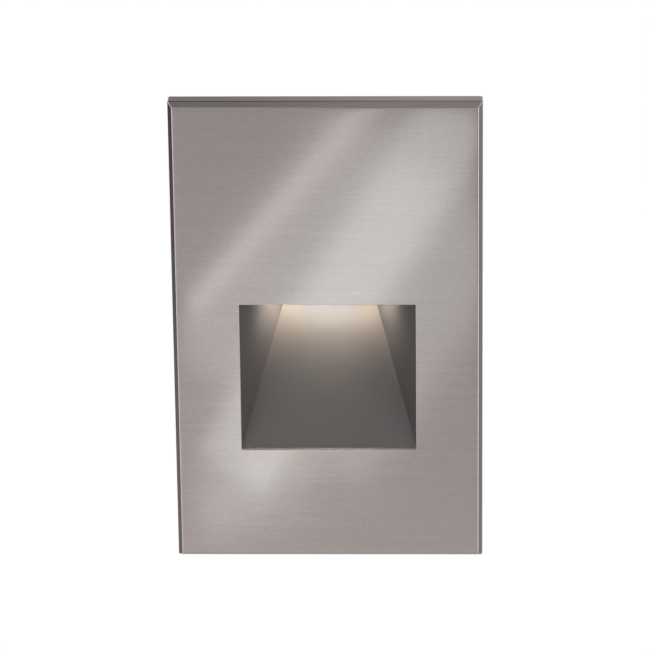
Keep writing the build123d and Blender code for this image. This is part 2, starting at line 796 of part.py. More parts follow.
def make_small_screws(plane, centre, spacing, length):
    """A group of M2 pan screws whose heads stand on a plane, driven against its normal."""
    with BuildPart() as screws:
        with BuildSketch(plane):
            with Locations(centre):
                with GridLocations(*spacing):
                    Circle(small_screw_head)
        extrude(amount=small_screw_head_height)
        with BuildSketch(plane):
            with Locations(centre):
                with GridLocations(*spacing):
                    Circle(small_screw_radius)
        extrude(amount=-length)
        with BuildSketch(plane.offset(small_screw_head_height)):
            with Locations(centre):
                with GridLocations(*spacing):
                    Rectangle(2 * small_screw_head, small_drive_slot)
        extrude(amount=-small_drive_depth, mode=Mode.SUBTRACT)
    return screws


def looking_up(height):
    """A horizontal plane seen from below: local x runs right, local y towards the front."""
    return Plane(origin=(0, 0, height), x_dir=(1, 0, 0), z_dir=(0, 0, -1))


retainer_screws = make_small_screws(
    level(retainer_top), (0, tab_y), (tab_spacing, 0, 2, 1), retainer_screw_length
)
retainer_screws.part.label = "retainer_screws"
sink_screws = make_small_screws(
    looking_up(shelf_bottom), (0, -sink_screw_y), (sink_screw_spacing, 0, 2, 1), sink_screw_length
)
sink_screws.part.label = "sink_screws"
led_screws = make_small_screws(
    looking_up(led_board_bottom), (0, -lens_centre_y), (led_screw_spacing, 0, 2, 1), led_screw_length
)
led_screws.part.label = "led_screws"
board_screws = make_small_screws(
    facing(board_front),
    (0, -board_drop),
    (board_screw_spacing_x, board_screw_spacing_z, 2, 2),
    board_screw_length,
)
board_screws.part.label = "board_screws"

# Heat sink: an extruded bridge on two legs, with webs up to a flat top
with BuildPart() as heat_sink:
    with BuildSketch(facing(sink_back)):
        with Locations((0, sink_bottom)):
            Rectangle(sink_width, sink_plate, align=(Align.CENTER, Align.MIN))
        with Locations((0, sink_web_bottom)):
            with GridLocations(sink_web_pitch, 0, sink_web_count, 1):
                Rectangle(sink_web, sink_web_top - sink_web_bottom, align=(Align.CENTER, Align.MIN))
        with Locations((0, sink_web_top)):
            Rectangle(sink_top_width, sink_top_plate, align=(Align.CENTER, Align.MIN))
    extrude(amount=sink_length)
    with BuildSketch(facing(sink_back)):
        with Locations((0, shelf_top)):
            with GridLocations(sink_width - sink_leg_width, 0, 2, 1):
                Rectangle(sink_leg_width, sink_leg_height, align=(Align.CENTER, Align.MIN))
    extrude(amount=sink_leg_length)
    with BuildSketch(level(shelf_top)):
        with Locations((0, sink_screw_y)):
            with GridLocations(sink_screw_spacing, 0, 2, 1):
                Circle(small_screw_radius + thread_play)
    extrude(amount=sink_screw_length, mode=Mode.SUBTRACT)
    with BuildSketch(level(sink_bottom)):
        with Locations((0, lens_centre_y)):
            with GridLocations(led_screw_spacing, 0, 2, 1):
                Circle(small_screw_radius + thread_play)
    extrude(amount=led_screw_length, mode=Mode.SUBTRACT)
heat_sink.part.label = "heat_sink"

# Gap pad between the heat sink's top and the housing
with BuildPart() as gap_pad:
    with BuildSketch(level(sink_top)):
        with Locations((0, sink_centre_y)):
            Rectangle(sink_top_width - 2 * gap_pad_margin, sink_length - 2 * gap_pad_margin)
    extrude(amount=gap_pad_thickness)
gap_pad.part.label = "gap_pad"

# LED board under the heat sink's plate, with its pad, its LEDs and its connector
with BuildPart() as thermal_pad:
    with BuildSketch(level(led_board_top)):
        with Locations((0, lens_centre_y)):
            Rectangle(led_board_width, led_board_length)
            with GridLocations(led_screw_spacing, 0, 2, 1):
                Circle(small_screw_radius + hole_play, mode=Mode.SUBTRACT)
    extrude(amount=thermal_pad_thickness)
thermal_pad.part.label = "thermal_pad"

with BuildPart() as led_board:
    with BuildSketch(level(led_board_bottom)):
        with Locations((0, lens_centre_y)):
            RectangleRounded(led_board_width, led_board_length, led_board_corner)
            with GridLocations(led_screw_spacing, 0, 2, 1):
                Circle(small_screw_radius + hole_play, mode=Mode.SUBTRACT)
    extrude(amount=led_board_thickness)
led_board.part.label = "led_board"

with BuildPart() as led_chips:
    with BuildSketch(level(led_board_bottom)):
        with Locations((0, lens_centre_y + led_offset_y)):
            with GridLocations(led_pitch_x, led_pitch_y, led_columns, led_rows):
                Rectangle(led_size, led_size)
    extrude(amount=-led_height)
    with BuildSketch(level(led_board_bottom - led_height)):
        with Locations((0, lens_centre_y + led_offset_y)):
            with GridLocations(led_pitch_x, led_pitch_y, led_columns, led_rows):
                Circle(led_dome_radius)
    extrude(amount=-led_dome_height)
led_chips.part.label = "led_chips"

with BuildPart() as led_connector:
    with BuildSketch(level(led_board_bottom)):
        with Locations((0, led_connector_back)):
            Rectangle(led_connector_width, led_connector_length, align=(Align.CENTER, Align.MAX))
    extrude(amount=-led_connector_height)
led_connector.part.label = "led_connector"

# Driver board on its posts, with an insulating sheet behind it
with BuildPart() as driver_board:
    with BuildSketch(facing(board_back)):
        with Locations((0, -board_drop)):
            RectangleRounded(board_width, board_height, board_corner)
            with GridLocations(board_screw_spacing_x, board_screw_spacing_z, 2, 2):
                Circle(small_screw_radius + hole_play, mode=Mode.SUBTRACT)
    extrude(amount=board_thickness)
driver_board.part.label = "driver_board"

with BuildPart() as insulator_sheet:
    with BuildSketch(facing(housing_inner_back)):
        with Locations((0, -board_drop)):
            Rectangle(board_width + 2 * insulator_margin, board_height + 2 * insulator_margin)
            with GridLocations(board_screw_spacing_x, board_screw_spacing_z, 2, 2):
                Circle(post_radius + hole_play, mode=Mode.SUBTRACT)
    extrude(amount=insulator_thickness)
insulator_sheet.part.label = "insulator_sheet"

# Transformer: a ferrite frame with a middle limb, and the wound bobbin round that limb
core_width, core_height, core_reach = transformer_size
core_window_width = core_width - 2 * transformer_limb
core_window_height = core_height - 2 * transformer_limb
core_back = board_front - (core_reach - transformer_core_depth) / 2
with BuildPart() as transformer_core:
    with BuildSketch(facing(core_back)):
        with Locations(on_board(transformer_at)):
            Rectangle(core_width, core_height)
            Rectangle(core_window_width, core_window_height, mode=Mode.SUBTRACT)
            Rectangle(transformer_limb, core_window_height)
    extrude(amount=transformer_core_depth)
transformer_core.part.label = "transformer_core"

with BuildPart() as transformer_coil:
    with BuildSketch(facing(board_front)):
        with Locations(on_board(transformer_at)):
            Rectangle(core_window_width - 2 * coil_play, core_window_height - 2 * coil_play)
    extrude(amount=core_reach)
    fillet(transformer_coil.edges().filter_by(Axis.Z).group_by(Axis.Y)[0], coil_round)
    with BuildSketch(facing(board_front)):
        with Locations(on_board(transformer_at)):
            Rectangle(bobbin_foot_size[0], bobbin_foot_size[1])
    extrude(amount=bobbin_foot_size[2])
    with BuildSketch(facing(core_back + coil_play)):
        with Locations(on_board(transformer_at)):
            Rectangle(transformer_limb + 2 * coil_play, core_window_height)
    extrude(amount=transformer_core_depth + 2 * coil_play, mode=Mode.SUBTRACT)
transformer_coil.part.label = "transformer_coil"


def make_can(place, radius, length):
    """A round capacitor standing on the board, with a crimp near its foot and a rounded end."""
    with BuildPart() as can:
        with BuildSketch(facing(board_front)):
            with Locations(on_board(place)):
                Circle(radius)
        extrude(amount=can_foot)
        with BuildSketch(facing(board_front - can_foot)):
            with Locations(on_board(place)):
                Circle(radius - can_crimp)
        extrude(amount=can_crimp_width)
        with BuildSketch(facing(board_front - can_foot - can_crimp_width)):
            with Locations(on_board(place)):
                Circle(radius)
        extrude(amount=length - can_foot - can_crimp_width)
        fillet(can.edges().filter_by(GeomType.CIRCLE).sort_by(Axis.Y)[0], can_round)
    return can


def make_block(place, size):
    """A plain rectangular body standing on the board."""
    with BuildPart() as block:
        with BuildSketch(facing(board_front)):
            with Locations(on_board(place)):
                Rectangle(size[0], size[1])
        extrude(amount=size[2])
    return block


input_capacitor = make_can(input_capacitor_at, input_capacitor_radius, input_capacitor_length)
input_capacitor.part.label = "input_capacitor"
output_capacitor = make_can(output_capacitor_at, output_capacitor_radius, output_capacitor_length)
output_capacitor.part.label = "output_capacitor"
rectifier = make_block(rectifier_at, rectifier_size)
rectifier.part.label = "rectifier"
output_header = make_block(header_at, header_size)
output_header.part.label = "output_header"

with BuildPart() as film_capacitor:
    with BuildSketch(facing(board_front)):
        with Locations(on_board(film_capacitor_at)):
            RectangleRounded(film_capacitor_size[0], film_capacitor_size[1], film_capacitor_round)
    extrude(amount=film_capacitor_size[2])
film_capacitor.part.label = "film_capacitor"

# Inductor: a drum core with its winding between the flanges
with BuildPart() as inductor:
    with BuildSketch(facing(board_front)):
        with Locations(on_board(inductor_at)):
            Circle(inductor_radius)
    extrude(amount=inductor_flange)
    with BuildSketch(facing(board_front - inductor_flange)):
        with Locations(on_board(inductor_at)):
            Circle(inductor_winding_radius)
    extrude(amount=inductor_length - 2 * inductor_flange)
    with BuildSketch(facing(board_front - inductor_length + inductor_flange)):
        with Locations(on_board(inductor_at)):
            Circle(inductor_radius)
    extrude(amount=inductor_flange)
inductor.part.label = "inductor"

with BuildPart() as fuse:
    with BuildSketch(facing(board_front)):
        with Locations(on_board(fuse_at)):
            Circle(fuse_radius)
    extrude(amount=fuse_length)
    fillet(fuse.edges().filter_by(GeomType.CIRCLE).sort_by(Axis.Y)[0], can_round)
fuse.part.label = "fuse"

# Varistor: a coated disc standing on its two leads
with BuildPart() as varistor:
    varistor_x, varistor_z = on_board(varistor_at)
    varistor_y = board_front - varistor_lead - varistor_radius
    with BuildSketch(Plane.YZ.offset(varistor_x - varistor_thickness / 2)):
        with Locations((varistor_y, varistor_z)):
            Circle(varistor_radius)
    extrude(amount=varistor_thickness)
    fillet(varistor.edges().filter_by(GeomType.CIRCLE), varistor_round)
    with BuildSketch(facing(board_front)):
        with Locations(on_board(varistor_at)):
            with GridLocations(0, varistor_lead_spacing, 1, 2):
                Circle(varistor_lead_radius)
    extrude(amount=varistor_lead + varistor_radius)
varistor.part.label = "varistor"

# Driver chip with its two rows of legs
with BuildPart() as driver_chip:
    with BuildSketch(facing(board_front)):
        with Locations(on_board(driver_chip_at)):
            Rectangle(driver_chip_size[0], driver_chip_size[1])
    extrude(amount=driver_chip_size[2])
    with BuildSketch(facing(board_front)):
        with Locations(on_board(driver_chip_at)):
            with GridLocations(chip_leg_pitch, 0, chip_leg_count, 1):
                Rectangle(chip_leg_width, driver_chip_size[1] + 2 * chip_leg_reach)
    extrude(amount=chip_leg_thickness)
driver_chip.part.label = "driver_chip"


def make_lead(x):
    """One lead, up from the driver's header and forward to the LED board's connector in a single bend."""
    with BuildPart() as lead:
        with BuildLine():
            FilletPolyline(
                (x, wire_column, header_top),
                (x, wire_column, wire_level),
                (x, led_connector_back, wire_level),
                radius=wire_bend,
            )
        with BuildSketch(level(header_top)):
            with Locations((x, wire_column)):
                Circle(wire_radius)
        sweep()
    return lead


led_lead_positive = make_lead(-wire_spacing / 2)
led_lead_positive.part.label = "led_lead_positive"
led_lead_negative = make_lead(wire_spacing / 2)
led_lead_negative.part.label = "led_lead_negative"

os.makedirs("parts", exist_ok=True)
for piece in (
    faceplate,
    wall_gasket,
    set_screw_left,
    set_screw_right,
    mounting_bracket,
    box_screws,
    opening_seal,
    light_well,
    well_screws,
    housing,
    back_cover,
    housing_seal,
    back_seal,
    housing_screws,
    ground_screw,
    lead_grommet,
    lens,
    lens_seal,
    lens_retainer,
    retainer_screws,
    heat_sink,
    sink_screws,
    gap_pad,
    thermal_pad,
    led_board,
    led_chips,
    led_connector,
    led_screws,
    driver_board,
    board_screws,
    insulator_sheet,
    transformer_core,
    transformer_coil,
    input_capacitor,
    output_capacitor,
    film_capacitor,
    inductor,
    fuse,
    varistor,
    rectifier,
    driver_chip,
    output_header,
    led_lead_positive,
    led_lead_negative,
):
    export_step(piece.part, f"parts/{piece.part.label}.step")
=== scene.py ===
"""A recessed wall step light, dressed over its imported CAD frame. All lengths are in metres.

The finished wall is the plane y = 0, the faceplate stands in front of it towards -Y, and Z is up.
"""

from math import cos, pi, radians, sin

import bpy
import numpy as np
from mathutils import Matrix, Vector


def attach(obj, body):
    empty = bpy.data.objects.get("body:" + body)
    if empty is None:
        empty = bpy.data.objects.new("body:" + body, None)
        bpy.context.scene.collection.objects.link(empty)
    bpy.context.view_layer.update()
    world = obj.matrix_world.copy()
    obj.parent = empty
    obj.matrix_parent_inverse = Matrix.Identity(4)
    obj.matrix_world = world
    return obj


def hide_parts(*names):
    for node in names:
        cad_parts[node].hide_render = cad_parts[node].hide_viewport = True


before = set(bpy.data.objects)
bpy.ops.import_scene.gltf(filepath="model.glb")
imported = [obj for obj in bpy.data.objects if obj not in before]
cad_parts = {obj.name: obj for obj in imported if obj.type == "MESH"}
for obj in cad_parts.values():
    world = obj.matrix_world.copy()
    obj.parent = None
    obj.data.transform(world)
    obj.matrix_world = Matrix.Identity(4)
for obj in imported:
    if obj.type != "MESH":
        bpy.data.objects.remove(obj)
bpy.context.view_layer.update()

# Camera: a long lens about 1.25 m away, looking down on the plate by 24 degrees from just right of its
# middle. The angles, distance and lens were fitted to the corners of the faceplate and of its opening.
camera_yaw, camera_pitch, camera_roll = radians(1.75), radians(23.77), radians(-0.72)
camera_distance = 1.252
camera_aim = np.array([-0.00062, -0.00586, 0.00287])
sensor_width_mm, lens_mm = 36.0, 271.15
look = np.array(
    [-sin(camera_yaw) * cos(camera_pitch), cos(camera_yaw) * cos(camera_pitch), -sin(camera_pitch)]
)
level = np.array([cos(camera_yaw), sin(camera_yaw), 0.0])
above = np.cross(level, look)
right = level * cos(camera_roll) + above * sin(camera_roll)
up = above * cos(camera_roll) - level * sin(camera_roll)
camera_place = camera_aim - look * camera_distance
camera = bpy.data.objects.new("camera", bpy.data.cameras.new("camera"))
camera.data.sensor_width, camera.data.lens = sensor_width_mm, lens_mm
camera.matrix_world = Matrix.Translation(camera_place) @ Matrix(np.column_stack([right, up, -look])).to_4x4()
bpy.context.scene.collection.objects.link(camera)
bpy.context.scene.camera = camera
bpy.context.scene.view_settings.view_transform = "Standard"

# Faceplate: a stainless pan cast in one piece, bevelled all round, with its front brushed from side to
# side. The edges are broken by a fraction of a millimetre, so they catch a line of light. Its corners are
# nearly square, and sharper at the front than at the rim.
plate_width, plate_height, plate_front, plate_back = 0.0794, 0.127, -0.00586, -0.0005
skin_back, rim_wall, skin_reach = -0.00446, 0.002, 0.004
bevel_inset, bevel_start = 0.00106, -0.0040
front_edge, bevel_edge, back_edge, inner_corner = 0.00042, 0.00026, 0.00015, 0.0003
corner_radius, least_corner_radius, corner_closing = 0.00045, 0.00012, 0.2
opening_width, opening_height, opening_middle = 0.0452, 0.0409, -0.01198
opening_corner, opening_back_edge, opening_front_edge, opening_reach = 0.00006, 0.0001, 0.00012, 0.003


def rounded(points, radius, steps=3):
    """A polyline with its inner corners rounded, as (n, 2) coordinates.

    Each corner p becomes the quadratic curve (1-s)^2 start + 2s(1-s) p + s^2 end for s from 0 to 1, whose
    start and end lie on the corner's two sides, a radius away from p.
    """
    points = np.asarray(points, float)
    corner, before, after = points[1:-1], points[:-2], points[2:]
    reach = np.broadcast_to(radius, len(corner))[:, None]
    start = corner + (before - corner) / np.linalg.norm(before - corner, axis=1, keepdims=True) * reach
    end = corner + (after - corner) / np.linalg.norm(after - corner, axis=1, keepdims=True) * reach
    s = np.linspace(0, 1, steps + 1)[None, :, None]
    curve = (1 - s) ** 2 * start[:, None] + 2 * s * (1 - s) * corner[:, None] + s**2 * end[:, None]
    return np.vstack([points[:1], curve.reshape(-1, 2), points[-1:]])


def rectangle_rings(width, height, corner, middle, depth, steps=5):
    """Rectangles with rounded corners, one ring for each entry of the arrays, as (rings, points, 3).

    A ring's point is its corner's centre plus the corner radius times (cos a, sin a), and a runs through
    a quarter turn in equal steps at each of the four corners.
    """
    width, height, corner, middle, depth = np.broadcast_arrays(width, height, corner, middle, depth)
    quarter = np.linspace(0, pi / 2, steps + 1)
    angle = (quarter[None, :] + np.arange(4)[:, None] * pi / 2).ravel()
    across = np.repeat([1, -1, -1, 1], steps + 1)
    upwards = np.repeat([1, 1, -1, -1], steps + 1)
    x = across * (width / 2 - corner)[:, None] + corner[:, None] * np.cos(angle)
    z = upwards * (height / 2 - corner)[:, None] + corner[:, None] * np.sin(angle) + middle[:, None]
    return np.stack([x, np.broadcast_to(depth[:, None], x.shape), z], axis=2)


def carried(name, rings, closed=False, capped=False):
    """A mesh object from rings of equal length: quads join each ring to the next, and the last to the first
    if closed. Capped adds a flat face at each end. Faces are turned outwards by the sign of the volume."""
    count, around = rings.shape[:2]
    corners = np.arange(count * around).reshape(count, around)
    bands = corners if closed else corners[:-1]
    following = np.roll(corners, -1, axis=0)[: len(bands)]
    quads = np.stack(
        [bands, np.roll(bands, -1, axis=1), np.roll(following, -1, axis=1), following], axis=2
    ).reshape(-1, 4)
    faces = quads.tolist()
    if capped:
        faces += [corners[0, ::-1].tolist(), corners[-1].tolist()]
    points = rings.reshape(-1, 3)
    a, b, c, d = (points[quads[:, i]] for i in range(4))
    volume = np.einsum("ij,ij->i", a, np.cross(b, c) + np.cross(c, d)).sum()
    if capped:
        for ring in (rings[0][::-1], rings[-1]):
            volume += np.einsum("j,ij->i", ring[0], np.cross(ring[1:-1], ring[2:])).sum()
    if volume < 0:
        faces = [face[::-1] for face in faces]
    mesh = bpy.data.meshes.new(name)
    mesh.from_pydata(points.tolist(), [], faces)
    mesh.polygons.foreach_set("use_smooth", np.ones(len(mesh.polygons), bool))
    piece = bpy.data.objects.new(name, mesh)
    bpy.context.scene.collection.objects.link(piece)
    return piece


def evenly_shaded(piece):
    """Lets the large flat faces set the shading of the small rounded edges between them."""
    weighted = piece.modifiers.new("evenly_shaded", "WEIGHTED_NORMAL")
    weighted.keep_sharp = True


def cut(piece, cutters):
    """Takes the cutters out of a piece, and deletes them."""
    for cutter in cutters:
        boolean = piece.modifiers.new("cut", "BOOLEAN")
        boolean.operation, boolean.solver, boolean.object = "DIFFERENCE", "EXACT", cutter
    shaped = bpy.data.meshes.new_from_object(piece.evaluated_get(bpy.context.evaluated_depsgraph_get()))
    piece.modifiers.clear()
    piece.data = shaped
    for cutter in cutters:
        bpy.data.objects.remove(cutter)


def block(name, low, high, edge):
    """A rectangular block between two corners: rectangles carried from its front face to its back, each
    drawn in by the rounding of the front and back edges."""
    low, high = np.array(low), np.array(high)
    width, depth, height = high - low
    inset, y = rounded([(width / 2, 0), (0, 0), (0, depth), (width / 2, depth)], edge).T
    inset, y = inset[1:-1], y[1:-1] + low[1]
    rings = rectangle_rings(width - 2 * inset, height - 2 * inset, edge, (low[2] + high[2]) / 2, y, 3)
    rings[:, :, 0] += (low[0] + high[0]) / 2
    return carried(name, rings, capped=True)


outer_profile = rounded(
    [
        (skin_reach, plate_front),
        (bevel_inset, plate_front),
        (0, bevel_start),
        (0, plate_back),
        (rim_wall, plate_back),
        (rim_wall, skin_back),
        (skin_reach, skin_back),
    ],
    [front_edge, bevel_edge, back_edge, back_edge, inner_corner],
)
outer_inset, outer_depth = outer_profile.T
opening_profile = rounded(
    [(opening_reach, skin_back), (0, skin_back), (0, plate_front), (opening_reach, plate_front)],
    [opening_back_edge, opening_front_edge],
    4,
)
opening_outset, opening_depth = opening_profile.T
plate_corner = np.clip(corner_radius - outer_inset * corner_closing, least_corner_radius, corner_radius)
outer_rings = rectangle_rings(
    plate_width - 2 * outer_inset, plate_height - 2 * outer_inset, plate_corner, 0.0, outer_depth
)
opening_rings = rectangle_rings(
    opening_width + 2 * opening_outset,
    opening_height + 2 * opening_outset,
    opening_corner + opening_outset,
    opening_middle,
    opening_depth,
)
faceplate = carried("faceplate_brushed", np.concatenate([outer_rings, opening_rings]), closed=True)

# Under the skin, a rib at the top hooks over the bracket, and two bosses in the foot take the set screws.
# A weep notch in the bottom rim lets water out. Rib and bosses sink a little way into the skin.
set_screw_x, set_screw_y, hole_radius, hole_low, hole_high = 0.02, -0.0026, 0.00155, -0.0645, -0.0575
boss_width, boss_low, boss_high, boss_edge = 0.007, -0.0617, -0.0593, 0.0002
hook_width, hook_low, hook_high, hook_back, hook_edge = 0.024, 0.05415, 0.05635, -0.00176, 0.0003
sunk, sharp_edge = 0.0002, 0.00002
weep_low, weep_high = (-0.003, -0.0019, -0.0655), (0.003, 0.001, -0.0605)


def bar(name, radius, start, end, around=40):
    """A round bar along z: the circle radius times (cos a, sin a), at start and at end, both (x, y, z)."""
    angle = np.arange(around) * 2 * pi / around
    loop = np.stack([radius * np.cos(angle), radius * np.sin(angle), 0 * angle], axis=1)
    return carried(name, np.stack([loop + start, loop + end]), capped=True)


def screw_hole(x):
    """The cutter for a set screw's hole, through the bottom rim and the boss over it."""
    return bar("hole", hole_radius, (x, set_screw_y, hole_low), (x, set_screw_y, hole_high))


weep = block("weep", weep_low, weep_high, sharp_edge)
cut(faceplate, [screw_hole(-set_screw_x), screw_hole(set_screw_x), weep])
evenly_shaded(faceplate)
plate_pieces = [
    faceplate,
    block(
        "hook_rib",
        (-hook_width / 2, skin_back - sunk, hook_low),
        (hook_width / 2, hook_back, hook_high),
        hook_edge,
    ),
]
for name, x in (("set_screw_boss_left", -set_screw_x), ("set_screw_boss_right", set_screw_x)):
    boss = block(
        name,
        (x - boss_width / 2, skin_back - sunk, boss_low),
        (x + boss_width / 2, plate_back, boss_high),
        boss_edge,
    )
    cut(boss, [screw_hole(x)])
    evenly_shaded(boss)
    plate_pieces.append(boss)


def node(tree, kind, values=None, **settings):
    """Adds a shader node. Values maps a socket's name or number to a number, a colour or another socket."""
    made = tree.nodes.new("ShaderNode" + kind)
    for setting, value in settings.items():
        setattr(made, setting, value)
    for socket, value in (values or {}).items():
        if isinstance(value, bpy.types.NodeSocket):
            tree.links.new(value, made.inputs[socket])
        else:
            made.inputs[socket].default_value = value
    return made


def effect(name, inputs, outputs):
    """Starts a shader node group of plain numbers: named inputs with their usual values, and outputs."""
    group = bpy.data.node_groups.new(name, "ShaderNodeTree")
    for socket, value in inputs.items():
        made = group.interface.new_socket(name=socket, in_out="INPUT", socket_type="NodeSocketFloat")
        made.default_value = value
    for socket in outputs:
        group.interface.new_socket(name=socket, in_out="OUTPUT", socket_type="NodeSocketFloat")
    return group, group.nodes.new("NodeGroupInput").outputs, group.nodes.new("NodeGroupOutput").inputs


def between(tree, share, low, high):
    """A number that runs from low to high as share runs from 0 to 1."""
    return node(tree, "MapRange", {"Value": share, "To Min": low, "To Max": high}).outputs["Result"]


def blended(tree, share, first, second):
    """A colour between two, by share."""
    return node(tree, "Mix", {0: share, 6: first, 7: second}, data_type="RGBA").outputs[2]


# Hairlines: the fine scratches of a brushing belt, as noise stretched about a hundred times along X. Lines
# and Bands set how many scratches and broader bands lie side by side in a metre, and Length how many lie
# end to end. Short and long scratches and bands are mixed by these shares, and then spread to more contrast.
short_share, band_share, shortening, band_lengthening = 0.62, 0.14, 25.0, 0.3
hairline_contrast = (-1.0, 2.0)
hairlines, given, result = effect(
    "hairlines", {"Lines": 4200.0, "Length": 45.0, "Bands": 420.0}, ["Shade", "Height"]
)
place = node(hairlines, "SeparateXYZ", {0: node(hairlines, "TexCoord").outputs["Object"]})


def stretched(lines, length, offset):
    """Noise at the place times (length, lines, lines), moved along X by the offset."""
    scaled = [
        node(hairlines, "Math", {0: place.outputs[axis], 1: scale}, operation="MULTIPLY").outputs[0]
        for axis, scale in (("X", length), ("Y", lines), ("Z", lines))
    ]
    moved = node(hairlines, "Math", {0: scaled[0], 1: offset}, operation="ADD").outputs[0]
    spot = node(hairlines, "CombineXYZ", {"X": moved, "Y": scaled[1], "Z": scaled[2]}).outputs[0]
    return node(hairlines, "TexNoise", {"Vector": spot, "Scale": 1.0, "Detail": 3.0}).outputs["Fac"]


def times(factor):
    """The group's Length input times a number."""
    return node(hairlines, "Math", {0: given["Length"], 1: factor}, operation="MULTIPLY").outputs[0]


long_lines = stretched(given["Lines"], given["Length"], 0.0)
short_lines = stretched(given["Lines"], times(shortening), 3.0)
bands = stretched(given["Bands"], times(band_lengthening), 7.0)
fine = node(hairlines, "Mix", {0: short_share, 2: long_lines, 3: short_lines}).outputs[0]
shade = node(hairlines, "Mix", {0: band_share, 2: fine, 3: bands}).outputs[0]
hairlines.links.new(between(hairlines, shade, *hairline_contrast), result["Shade"])
hairlines.links.new(fine, result["Height"])


def material(name, **constants):
    """A material with one Principled shader, whose named sockets take these plain values."""
    made = bpy.data.materials.new(name)
    made.use_nodes = True
    shader = made.node_tree.nodes["Principled BSDF"]
    for socket, value in constants.items():
        shader.inputs[socket.replace("_", " ").title().replace("Ior", "IOR")].default_value = value
    return made, made.node_tree, shader.inputs


def bumped(tree, sockets, height, distance, strength=1.0):
    """Feeds a height, in metres of relief, to the shader's normal."""
    bump = node(tree, "Bump", {"Height": height, "Distance": distance, "Strength": strength})
    tree.links.new(bump.outputs[0], sockets["Normal"])


def lined_metal(name, dark, light, rough, inputs=None, **constants):
    """Bare metal with hairlines, whose shade runs from dark to light and whose roughness from rough's low to
    its high. Inputs are the hairline group's own."""
    made, tree, sockets = material(name, metallic=1.0, **constants)
    lines = node(tree, "Group", inputs, node_tree=hairlines).outputs
    tree.links.new(blended(tree, lines["Shade"], (*dark, 1), (*light, 1)), sockets["Base Color"])
    tree.links.new(between(tree, lines["Shade"], *rough), sockets["Roughness"])
    return made, tree, sockets, lines


brushed_plate, tree, sockets, lines = lined_metal(
    "brushed_plate",
    (0.389, 0.344, 0.334),
    (0.461, 0.407, 0.395),
    (0.15, 0.19),
    anisotropic=0.45,
    anisotropic_rotation=0.25,
)
bumped(tree, sockets, lines["Height"], 0.000002, 0.5)

# The opening's cut edge is ground, not brushed, so its grain is short and its reflections are soft. Its
# colour is painted much paler than the brushed face's: a painted highlight for the light that falls on the
# lip from the well.
satin_edge_painted_highlight = lined_metal(
    "satin_edge_painted_highlight", (0.74, 0.70, 0.68), (0.82, 0.78, 0.75), (0.45, 0.55), {"Length": 4200.0, "Lines": 900.0}
)[0]
edge_margin = 0.00002

for piece in plate_pieces:
    piece.data.materials.clear()
    piece.data.materials.append(brushed_plate)
    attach(piece, "cover")
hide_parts("faceplate")
# The faces round the opening take the paler steel, with its painted highlight.
faceplate.data.materials.append(satin_edge_painted_highlight)
centres = np.empty(3 * len(faceplate.data.polygons))
faceplate.data.polygons.foreach_get("center", centres)
x, _, z = np.abs(centres.reshape(-1, 3).T - [[0], [0], [opening_middle]])
on_edge = (x < opening_width / 2 + edge_margin) & (z < opening_height / 2 + edge_margin)
faceplate.data.polygons.foreach_set("material_index", on_edge.astype(np.int32))

# Light well: an aluminium casting under grey metallic paint. Its mouth, side walls and long sloping
# panel are what shows through the opening, and the paint has a fine sparkle and a soft orange peel.
grain_contrast, speckle_share, speckle_strength = (-0.5, 1.5), 0.5, 0.4
grain, given, result = effect("grain", {"Size": 3000.0, "Cloud": 60.0}, ["Speckle", "Cloud"])
spot = node(grain, "TexCoord").outputs["Object"]
speckle = node(grain, "TexNoise", {"Vector": spot, "Scale": given["Size"], "Detail": 2.0}).outputs["Fac"]
cloud = node(grain, "TexNoise", {"Vector": spot, "Scale": given["Cloud"], "Detail": 3.0}).outputs["Fac"]
grain.links.new(between(grain, speckle, *grain_contrast), result["Speckle"])
grain.links.new(between(grain, cloud, *grain_contrast), result["Cloud"])


def grainy(name, dark, light, rough, size=3000.0, clouds=60.0, relief=0.00002, **constants):
    """A finish that runs from dark to light by fine speckle mixed with faint clouds. Rough is the
    roughness's (low, high), and relief the speckle's depth in metres."""
    made, tree, sockets = material(name, **constants)
    pattern = node(tree, "Group", {"Size": size, "Cloud": clouds}, node_tree=grain).outputs
    mixed = node(tree, "Mix", {0: speckle_share, 2: pattern["Speckle"], 3: pattern["Cloud"]}).outputs[0]
    tree.links.new(blended(tree, mixed, (*dark, 1), (*light, 1)), sockets["Base Color"])
    tree.links.new(between(tree, pattern["Cloud"], *rough), sockets["Roughness"])
    bumped(tree, sockets, pattern["Speckle"], relief, speckle_strength)
    return made


def dress(finish, *nodes):
    """Gives CAD nodes a finish."""
    for name in nodes:
        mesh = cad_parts[name].data
        mesh.materials.clear()
        mesh.materials.append(finish)


well_paint = grainy(
    "well_paint",
    (0.093, 0.0855, 0.084),
    (0.112, 0.1026, 0.1007),
    (0.42, 0.5),
    size=5200.0,
    relief=0.00001,
    metallic=0.25,
)
dress(well_paint, "light_well")

# Lens: a frosted glass plate lying over the port in the well's shelf, lit from above by the LEDs.
# Its glow is painted light, an emission on the glass itself: warm white, most where the LEDs stand over it,
# fading towards its edge.
lens_middle, glow_core, glow_reach, glow_at_edge = (0.0, 0.0095, 0.0115), 0.004, 0.02, 0.35
frosted, tree, sockets = material("frosted_glass", roughness=0.55, ior=1.5, emission_strength=1.6)
spot = node(tree, "TexCoord").outputs["Object"]
frost = node(tree, "TexNoise", {"Vector": spot, "Scale": 2500.0, "Detail": 2.0}).outputs["Fac"]
away = node(tree, "VectorMath", {0: spot, 1: lens_middle}, operation="DISTANCE").outputs["Value"]
fading = {"From Min": glow_core, "From Max": glow_reach, "To Min": 1.0, "To Max": glow_at_edge}
glow = node(tree, "MapRange", {"Value": away, **fading}).outputs["Result"]
tree.links.new(blended(tree, glow, (0.5, 0.33, 0.2, 1), (1.0, 0.84, 0.66, 1)), sockets["Emission Color"])
tree.links.new(blended(tree, frost, (0.8, 0.8, 0.78, 1), (0.9, 0.9, 0.88, 1)), sockets["Base Color"])
bumped(tree, sockets, frost, 0.00001, 0.5)
dress(frosted, "lens")

